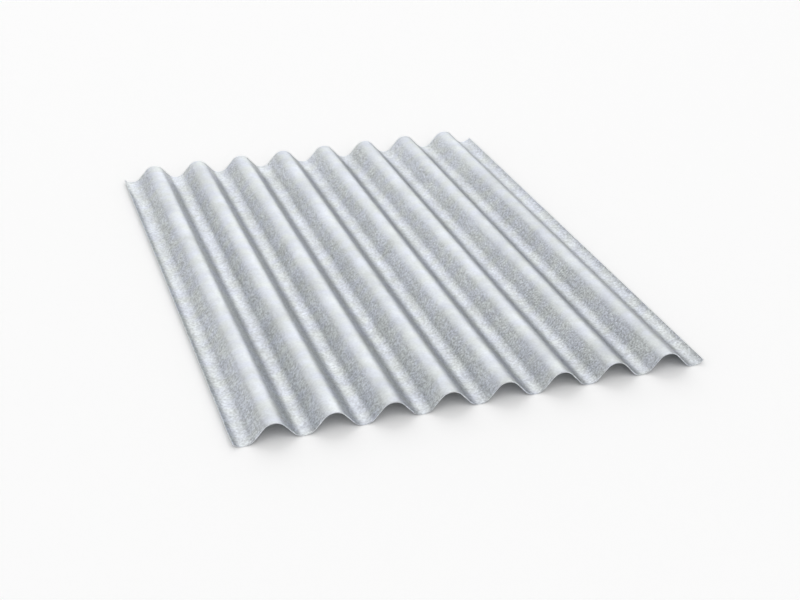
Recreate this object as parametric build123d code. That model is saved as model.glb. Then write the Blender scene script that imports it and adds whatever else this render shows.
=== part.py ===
"""Corrugated galvanised steel sheet: one flat strip, rolled into even waves.

The waves run along Y, with crest after valley across X, and the undersides of the valleys
lie on Z = 0. The origin is in the middle of the sheet, under its middle valley.
Sizes are in millimetres and degrees.
"""
from build123d import *
from math import cos, radians, sin
import os

# Driving dimensions
pitch = 67.7  # one crest to the next, 2 2/3 in
wave_height = 22.0  # one face of the steel, from valley to crest, 7/8 in
flank_angle = 48.7  # slope of the straight flank between a valley's bend and a crest's
edge_angle = 50.0  # slope that the bend of an outer valley has reached at the side edge
crest_count = 8
steel_thickness = 1.0
sheet_length = 770.0  # along the waves

# Half a wave is a bend, a straight flank and the opposite bend, each tangent to the next.
# Together they go half a pitch across and one wave height up.
half_pitch = pitch / 2
flank_sine = sin(radians(flank_angle))
flank_cosine = cos(radians(flank_angle))
bend_radius = (half_pitch * flank_sine - wave_height * flank_cosine) / (2 * (1 - flank_cosine))
flank_length = wave_height * flank_sine / (1 - flank_cosine) - half_pitch


def along(slope):
    """The unit vector that goes across the sheet and up at this slope."""
    return Vector(cos(radians(slope)), sin(radians(slope)))


def wave_line(offset):
    """The wave from one side edge to the other, this far above the middle of the steel."""
    valley_radius = bend_radius - offset
    crest_radius = bend_radius + offset
    outer_valley_centre = Vector(-crest_count * half_pitch, steel_thickness / 2 + bend_radius)
    side_edge = outer_valley_centre + along(-90 - edge_angle) * valley_radius

    with BuildLine() as wave:
        valley = JernArc(side_edge, along(-edge_angle), valley_radius, edge_angle + flank_angle)
        for crest_number in range(1, crest_count + 1):
            rise = Line(valley @ 1, valley @ 1 + along(flank_angle) * flank_length)
            crest = JernArc(rise @ 1, along(flank_angle), crest_radius, -2 * flank_angle)
            fall = Line(crest @ 1, crest @ 1 + along(-flank_angle) * flank_length)
            last_slope = edge_angle if crest_number == crest_count else flank_angle
            valley = JernArc(fall @ 1, along(-flank_angle), valley_radius, flank_angle + last_slope)
    return wave.line


def corrugated_sheet():
    """The wavy section of the steel, drawn out along the waves."""
    underside = wave_line(-steel_thickness / 2)
    upper_side = wave_line(steel_thickness / 2)
    with BuildPart() as sheet:
        with BuildSketch(Plane.XZ):
            with BuildLine():
                add(underside)
                add(upper_side)
                Line(underside @ 0, upper_side @ 0)
                Line(underside @ 1, upper_side @ 1)
            make_face()
        extrude(amount=sheet_length / 2, both=True)
    return sheet.part


os.makedirs("parts", exist_ok=True)
export_step(corrugated_sheet(), "parts/corrugated_sheet.step")
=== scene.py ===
"""Galvanised corrugated sheet lying on a pale floor: its smooth steel, its zinc and its light.

Lengths are in metres, in the frame's own axes: the waves run along Y and the floor is Z = 0.
"""
from math import ceil, cos, pi, radians, sin

import bpy
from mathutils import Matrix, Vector


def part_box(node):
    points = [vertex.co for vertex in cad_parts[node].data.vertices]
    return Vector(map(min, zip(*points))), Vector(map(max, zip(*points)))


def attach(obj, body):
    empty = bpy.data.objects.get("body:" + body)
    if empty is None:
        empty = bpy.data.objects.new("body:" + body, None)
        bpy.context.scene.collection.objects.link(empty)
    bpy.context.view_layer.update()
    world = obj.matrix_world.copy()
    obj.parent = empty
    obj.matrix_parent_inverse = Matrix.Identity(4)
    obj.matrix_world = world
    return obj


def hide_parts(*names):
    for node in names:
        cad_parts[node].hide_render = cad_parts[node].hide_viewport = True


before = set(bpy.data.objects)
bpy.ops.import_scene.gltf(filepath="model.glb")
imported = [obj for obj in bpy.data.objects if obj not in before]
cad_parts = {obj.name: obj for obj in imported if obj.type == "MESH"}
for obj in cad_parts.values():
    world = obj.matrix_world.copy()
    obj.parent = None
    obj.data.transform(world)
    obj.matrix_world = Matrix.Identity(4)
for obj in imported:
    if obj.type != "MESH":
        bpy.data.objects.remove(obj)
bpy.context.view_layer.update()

# The sheet's driving sizes
NODE = "corrugated_sheet"
PITCH = 0.0677
CRESTS = 8
FLANK_ANGLE = radians(48.7)
EDGE_ANGLE = radians(50.0)
STEEL = 0.001
EDGE_ROUNDING = 0.00018
LOW, HIGH = (Vector(corner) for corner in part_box(NODE))
LENGTH = HIGH.y - LOW.y
WAVE_HEIGHT = HIGH.z - LOW.z - STEEL
HALF_PITCH = PITCH / 2

# From a valley to a crest, square to the flank between them, and the bend and flank that fit that
SQUARE_TO_FLANK = HALF_PITCH * sin(FLANK_ANGLE) - WAVE_HEIGHT * cos(FLANK_ANGLE)
BEND_RADIUS = SQUARE_TO_FLANK / (2 * (1 - cos(FLANK_ANGLE)))
FLANK_LENGTH = WAVE_HEIGHT * sin(FLANK_ANGLE) / (1 - cos(FLANK_ANGLE)) - HALF_PITCH

# How finely the smooth mesh is cut
DEGREES_A_STEP = 3.0
FLANK_STEPS = 5
ROWS = 36
END_ROW = 0.0006
ROUNDING_STEPS = 2
SHARP_ANGLE = radians(50)

# Strips of the unrolled map: the upper side has the most room, and the thin cut faces a sliver each
MAP_MARGIN = 0.006
UPPER_MAP = (0.0, 0.68)
UNDER_MAP = (0.695, 0.945)
LEFT_EDGE_MAP = (0.955, 0.96)
RIGHT_EDGE_MAP = (0.968, 0.973)
NEAR_END_MAP = (0.981, 0.986)
FAR_END_MAP = (0.995, 1.0)

# The zinc: its two greys, how dull it is, and how much of its sheen is left at a grazing view
GREY_ZINC = (0.735, 0.766, 0.77, 1)
BLUE_ZINC = (0.73, 0.762, 0.822, 1)
ROUGHNESS = 0.47
EDGE_TINT = 0.5

# Its fine grain, which the crests hardly keep and the valleys keep in part
GRAIN = 0.0027
GRAIN_DETAIL = 1.0
GRAIN_SHARPNESS = 0.4
GRAIN_TWIST = 0.4
GRAIN_CONTRAST = 0.25
GRAIN_RELIEF = 0.00045
CREST_DEPTH = 0.007
CREST_GRAIN = 0.2
VALLEY_DEPTH = 0.006
VALLEY_GRAIN = 0.55

# Its larger marks: crystals, clouds, and the patches where one grey goes over into the other
CRYSTAL = 0.0075
CRYSTAL_CONTRAST = 0.02
CRYSTAL_DULLNESS = 0.02
CLOUD = 0.045
CLOUD_DETAIL = 3.0
CLOUD_SHARPNESS = 0.55
CLOUD_CONTRAST = 0.05
CLOUD_DULLNESS = 0.02
TINT = 0.024
TINT_DETAIL = 1.0
TINT_BEGINS = 0.35
TINT_ENDS = 0.65

# Between which values nearly all of a noise lies
NOISE_LOW = 0.3
NOISE_HIGH = 0.7

# The floor: how much of white is added where it is looked at, and how near a thing must be for painted
# shade to dim that
FLOOR_SIZE = 80
FLOOR_COLOUR = (0.93, 0.93, 0.93, 1)
FLOOR_ROUGHNESS = 0.9
FLOOR_GLOSS = 0.2
FLOOR_LIFT = 0.47
PAINTED_SHADE_REACH = 0.3
WHITE = (1, 1, 1, 1)

# The room and its pale horizon: how light each is, and between which heights the horizon fades
ROOM = 0.07
HORIZON = 0.97
FADE_START = radians(12.5)
FADE_END = radians(17.0)

# The photograph's view: where the camera stands round the point it aims at, and its lens in millimetres
VIEW_AZIMUTH = radians(-18.48)
VIEW_ELEVATION = radians(27.56)
VIEW_DISTANCE = 1.7796
VIEW_AIM = Vector((-0.0049, -0.1158, 0.0))
LENS = 62.18
SENSOR_WIDTH = 36


def wave_middle():
    """Points across the sheet on the middle of the steel, each with the slope there, left to right."""
    points = []
    here = Vector((-CRESTS * HALF_PITCH, STEEL / 2))
    here += Vector((-sin(EDGE_ANGLE), 1 - cos(EDGE_ANGLE))) * BEND_RADIUS
    slope = -EDGE_ANGLE
    points.append((here.copy(), slope))

    def bend(to_slope):
        nonlocal here, slope
        turn = to_slope - slope
        side = 1 if turn > 0 else -1
        centre = here + Vector((-sin(slope), cos(slope))) * BEND_RADIUS * side
        steps = ceil(abs(turn) / radians(DEGREES_A_STEP))
        for step in range(1, steps + 1):
            angle = slope + turn * step / steps
            points.append((centre + Vector((sin(angle), -cos(angle))) * BEND_RADIUS * side, angle))
        here, slope = points[-1][0].copy(), to_slope

    def flank():
        nonlocal here
        start = here.copy()
        for step in range(1, FLANK_STEPS + 1):
            reach = FLANK_LENGTH * step / FLANK_STEPS
            points.append((start + Vector((cos(slope), sin(slope))) * reach, slope))
        here = points[-1][0].copy()

    for _ in range(CRESTS):
        bend(FLANK_ANGLE)
        flank()
        bend(-FLANK_ANGLE)
        flank()
    bend(EDGE_ANGLE)
    return points


def section():
    """The closed outline of the steel across the sheet: along its upper side, then back underneath."""
    middle = wave_middle()
    half = STEEL / 2
    up = [point + Vector((-sin(slope), cos(slope))) * half for point, slope in middle]
    down = [point - Vector((-sin(slope), cos(slope))) * half for point, slope in middle]
    return up + down[::-1]


def row_places():
    """Where the outline repeats along Y: evenly, with a narrow row inside each cut end."""
    inner = LENGTH - 2 * END_ROW
    middle = [LOW.y + END_ROW + inner * row / ROWS for row in range(ROWS + 1)]
    return [LOW.y] + middle + [HIGH.y]


def share_across(points):
    """How far each point lies along the unrolled steel, from 0 at the left edge to 1 at the right."""
    gone = [0.0]
    for before, after in zip(points, points[1:]):
        gone.append(gone[-1] + (after - before).length)
    return [distance / gone[-1] for distance in gone]


def round_edges(sheet):
    """Takes the sharpness off the cut edges, in the mesh itself."""
    rounding = sheet.modifiers.new("edge rounding", "BEVEL")
    rounding.width = EDGE_ROUNDING
    rounding.segments = ROUNDING_STEPS
    rounding.limit_method = "ANGLE"
    rounding.angle_limit = SHARP_ANGLE
    graph = bpy.context.evaluated_depsgraph_get()
    sheet.data = bpy.data.meshes.new_from_object(sheet.evaluated_get(graph))
    sheet.modifiers.clear()


def steel_sheet():
    """The sheet as one closed mesh: the outline repeated in rows along Y, with a face at each end."""
    outline = section()
    around = len(outline)
    half_count = around // 2
    across = share_across(outline[:half_count])
    across += across[::-1]
    rows = row_places()
    vertices = [(point.x, y, point.y) for y in rows for point in outline]
    faces = []
    places = []

    def add_face(corners, place):
        """One face of (row, point) corners, each with its place on the unrolled map."""
        faces.append([row * around + here for row, here in corners])
        places.extend(place(row, here) for row, here in corners)

    def on_strip(left, right):
        return lambda row, here: (left + (right - left) * across[here], (rows[row] - LOW.y) / LENGTH)

    def on_edge(left, right):
        return lambda row, here: (left if here < half_count else right, (rows[row] - LOW.y) / LENGTH)

    def on_end(left, right):
        return lambda row, here: (left if here < half_count else right, across[here])

    for row in range(len(rows) - 1):
        for here in range(around):
            after = (here + 1) % around
            if here == half_count - 1:
                place = on_edge(*RIGHT_EDGE_MAP)
            elif here == around - 1:
                place = on_edge(*LEFT_EDGE_MAP)
            else:
                place = on_strip(*(UPPER_MAP if here < half_count else UNDER_MAP))
            add_face(((row, here), (row, after), (row + 1, after), (row + 1, here)), place)
    for row, turned, strip in ((0, False, NEAR_END_MAP), (len(rows) - 1, True, FAR_END_MAP)):
        for here in range(half_count - 1):
            corners = ((row, here), (row, around - 1 - here), (row, around - 2 - here), (row, here + 1))
            add_face(corners[::-1] if turned else corners, on_end(*strip))
    mesh = bpy.data.meshes.new("corrugated_steel")
    mesh.from_pydata(vertices, [], faces)
    unrolled = mesh.uv_layers.new(name="OFBake")
    for corner, place in zip(unrolled.data, places):
        corner.uv = [MAP_MARGIN + (1 - 2 * MAP_MARGIN) * value for value in place]
    sheet = bpy.data.objects.new("corrugated_steel", mesh)
    bpy.context.scene.collection.objects.link(sheet)
    round_edges(sheet)
    sheet.data.shade_smooth()
    return sheet


def noise(tree, vector, size, detail, sharpness=0.5, twist=0.0):
    """Cloudy noise from 0 to 1 with marks of about the size that is given."""
    node = tree.nodes.new("ShaderNodeTexNoise")
    node.inputs["Scale"].default_value = 1 / size
    node.inputs["Detail"].default_value = detail
    node.inputs["Roughness"].default_value = sharpness
    node.inputs["Distortion"].default_value = twist
    tree.links.new(vector, node.inputs["Vector"])
    return node.outputs["Fac"]


def spread(tree, value, low, high, to_low, to_high):
    """The value, with low to high stretched to the new range and held at its ends."""
    node = tree.nodes.new("ShaderNodeMapRange")
    limits = {"From Min": low, "From Max": high, "To Min": to_low, "To Max": to_high}
    for name, limit in limits.items():
        node.inputs[name].default_value = limit
    tree.links.new(value, node.inputs["Value"])
    return node.outputs["Result"]


def combine(tree, operation, *values):
    """Two or more values joined one after another by the same operation."""
    result = values[0]
    for value in values[1:]:
        node = tree.nodes.new("ShaderNodeMath")
        node.operation = operation
        tree.links.new(result, node.inputs[0])
        tree.links.new(value, node.inputs[1])
        result = node.outputs[0]
    return result


def looked_at(tree):
    """1 for rays that look at a thing, also by way of metal or glass, and 0 for those that light it."""
    ray = tree.nodes.new("ShaderNodeLightPath").outputs
    return combine(tree, "MAXIMUM", ray["Is Camera Ray"], ray["Is Glossy Ray"], ray["Is Transmission Ray"])


def zinc():
    """Galvanised steel: bright, slightly blue zinc, with a fine grain that shows most on the flanks."""
    material = bpy.data.materials.new("galvanised_zinc")
    material.use_nodes = True
    tree = material.node_tree
    shader = tree.nodes["Principled BSDF"]
    shader.inputs["Metallic"].default_value = 1.0
    shader.inputs["Specular Tint"].default_value = (EDGE_TINT, EDGE_TINT, EDGE_TINT, 1)

    place = tree.nodes.new("ShaderNodeTexCoord").outputs["Object"]
    height = tree.nodes.new("ShaderNodeSeparateXYZ")
    tree.links.new(place, height.inputs[0])
    above_valley = spread(tree, height.outputs["Z"], 0, VALLEY_DEPTH, VALLEY_GRAIN, 1)
    below_crest = spread(tree, height.outputs["Z"], WAVE_HEIGHT - CREST_DEPTH, WAVE_HEIGHT, 1, CREST_GRAIN)
    kept = combine(tree, "MINIMUM", above_valley, below_crest)
    grain = noise(tree, place, GRAIN, GRAIN_DETAIL, GRAIN_SHARPNESS, GRAIN_TWIST)
    cloud = noise(tree, place, CLOUD, CLOUD_DETAIL, CLOUD_SHARPNESS)
    tint = noise(tree, place, TINT, TINT_DETAIL)
    crystals = tree.nodes.new("ShaderNodeTexVoronoi")
    crystals.inputs["Scale"].default_value = 1 / CRYSTAL
    tree.links.new(place, crystals.inputs["Vector"])
    crystal = tree.nodes.new("ShaderNodeSeparateColor")
    tree.links.new(crystals.outputs["Color"], crystal.inputs["Color"])

    hue = tree.nodes.new("ShaderNodeValToRGB")
    grey, blue = hue.color_ramp.elements
    grey.position = TINT_BEGINS
    grey.color = GREY_ZINC
    blue.position = TINT_ENDS
    blue.color = BLUE_ZINC
    tree.links.new(tint, hue.inputs["Fac"])
    even_speckle = spread(tree, grain, NOISE_LOW, NOISE_HIGH, -GRAIN_CONTRAST, GRAIN_CONTRAST)
    speckle = combine(tree, "MULTIPLY", even_speckle, kept)
    patches = spread(tree, cloud, NOISE_LOW, NOISE_HIGH, 1 - CLOUD_CONTRAST, 1 + CLOUD_CONTRAST)
    facets = spread(tree, crystal.outputs["Red"], 0, 1, -CRYSTAL_CONTRAST, CRYSTAL_CONTRAST)
    shade = tree.nodes.new("ShaderNodeVectorMath")
    shade.operation = "SCALE"
    tree.links.new(hue.outputs["Color"], shade.inputs[0])
    tree.links.new(combine(tree, "ADD", patches, facets, speckle), shade.inputs["Scale"])
    tree.links.new(shade.outputs["Vector"], shader.inputs["Base Color"])

    dullest = ROUGHNESS + CLOUD_DULLNESS
    shiniest = ROUGHNESS - CLOUD_DULLNESS
    dullness = spread(tree, cloud, NOISE_LOW, NOISE_HIGH, dullest, shiniest)
    facet_dullness = spread(tree, crystal.outputs["Green"], 0, 1, -CRYSTAL_DULLNESS, CRYSTAL_DULLNESS)
    tree.links.new(combine(tree, "ADD", dullness, facet_dullness), shader.inputs["Roughness"])

    bump = tree.nodes.new("ShaderNodeBump")
    bump.inputs["Distance"].default_value = GRAIN_RELIEF
    tree.links.new(kept, bump.inputs["Strength"])
    tree.links.new(grain, bump.inputs["Height"])
    tree.links.new(bump.outputs["Normal"], shader.inputs["Normal"])
    return material


def floor():
    """A wide pale floor that takes the sheet's shadow.

    Where it is looked at, also in the metal, it is lifted to near white, and painted shade dims that lift
    right by the sheet and under it.
    """
    bpy.ops.mesh.primitive_plane_add(size=FLOOR_SIZE)
    ground = bpy.context.object
    ground.name = "floor"
    material = bpy.data.materials.new("pale_floor")
    material.use_nodes = True
    tree = material.node_tree
    shader = tree.nodes["Principled BSDF"]
    shader.inputs["Base Color"].default_value = FLOOR_COLOUR
    shader.inputs["Roughness"].default_value = FLOOR_ROUGHNESS
    shader.inputs["Specular IOR Level"].default_value = FLOOR_GLOSS
    shader.inputs["Emission Color"].default_value = WHITE
    bounces = tree.nodes.new("ShaderNodeLightPath").outputs["Diffuse Depth"]
    no_bounce = spread(tree, bounces, 0, 1, FLOOR_LIFT, 0)
    # Painted shade: ambient occlusion dims the floor's added white near the sheet and in the gaps under its
    # crests
    painted_contact_shade = tree.nodes.new("ShaderNodeAmbientOcclusion")
    painted_contact_shade.inputs["Distance"].default_value = PAINTED_SHADE_REACH
    lift = combine(tree, "MULTIPLY", looked_at(tree), no_bounce, painted_contact_shade.outputs["AO"])
    tree.links.new(lift, shader.inputs["Emission Strength"])
    ground.data.materials.append(material)


def soft_lamp(name, azimuth, elevation, half_angle, radiance):
    """A round soft light far away: azimuth is to the right of +Y, and half_angle is its size in the sky."""
    lamp = bpy.data.lights.new(name, "SUN")
    lamp.angle = radians(2 * half_angle)
    lamp.energy = radiance * pi * sin(radians(half_angle)) ** 2
    holder = bpy.data.objects.new(name, lamp)
    across, up = radians(azimuth), radians(elevation)
    towards = Vector((sin(across) * cos(up), cos(across) * cos(up), sin(up)))
    holder.rotation_euler = towards.to_track_quat("Z", "Y").to_euler()
    bpy.context.scene.collection.objects.link(holder)


def studio():
    """Four round soft lights, the strongest of them behind the sheet, in a dim room with a pale horizon.

    The horizon is pale where it is looked at, also in the metal, as far up as the low views see.
    """
    soft_lamp("wide_behind", azimuth=6, elevation=27, half_angle=33, radiance=1.18)
    soft_lamp("low_behind", azimuth=18, elevation=15, half_angle=21, radiance=0.42)
    soft_lamp("left", azimuth=-90, elevation=12, half_angle=36, radiance=0.4)
    soft_lamp("in_front", azimuth=180, elevation=45, half_angle=36, radiance=1.0)
    world = bpy.data.worlds.new("studio")
    bpy.context.scene.world = world
    world.use_nodes = True
    tree = world.node_tree
    height = tree.nodes.new("ShaderNodeSeparateXYZ")
    tree.links.new(tree.nodes.new("ShaderNodeTexCoord").outputs["Generated"], height.inputs[0])
    horizon = spread(tree, height.outputs["Z"], sin(FADE_START), sin(FADE_END), 1, 0)
    seen_horizon = combine(tree, "MULTIPLY", looked_at(tree), horizon)
    level = spread(tree, seen_horizon, 0, 1, ROOM, HORIZON)
    tree.links.new(level, tree.nodes["Background"].inputs["Strength"])
    tree.nodes["Background"].inputs["Color"].default_value = WHITE


def camera():
    """The photograph's view: from the left of the waves and well above, through a longish lens."""
    level = cos(VIEW_ELEVATION)
    back = Vector((sin(VIEW_AZIMUTH) * level, -cos(VIEW_AZIMUTH) * level, sin(VIEW_ELEVATION)))
    lens = bpy.data.cameras.new("camera")
    lens.lens = LENS
    lens.sensor_width = SENSOR_WIDTH
    eye = bpy.data.objects.new("camera", lens)
    eye.location = VIEW_AIM + back * VIEW_DISTANCE
    eye.rotation_euler = (-back).to_track_quat("-Z", "Y").to_euler()
    bpy.context.scene.collection.objects.link(eye)
    bpy.context.scene.camera = eye


camera()
sheet = steel_sheet()
sheet.data.materials.append(zinc())
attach(sheet, "root")
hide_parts(NODE)
floor()
studio()
bpy.context.scene.view_settings.view_transform = "Standard"
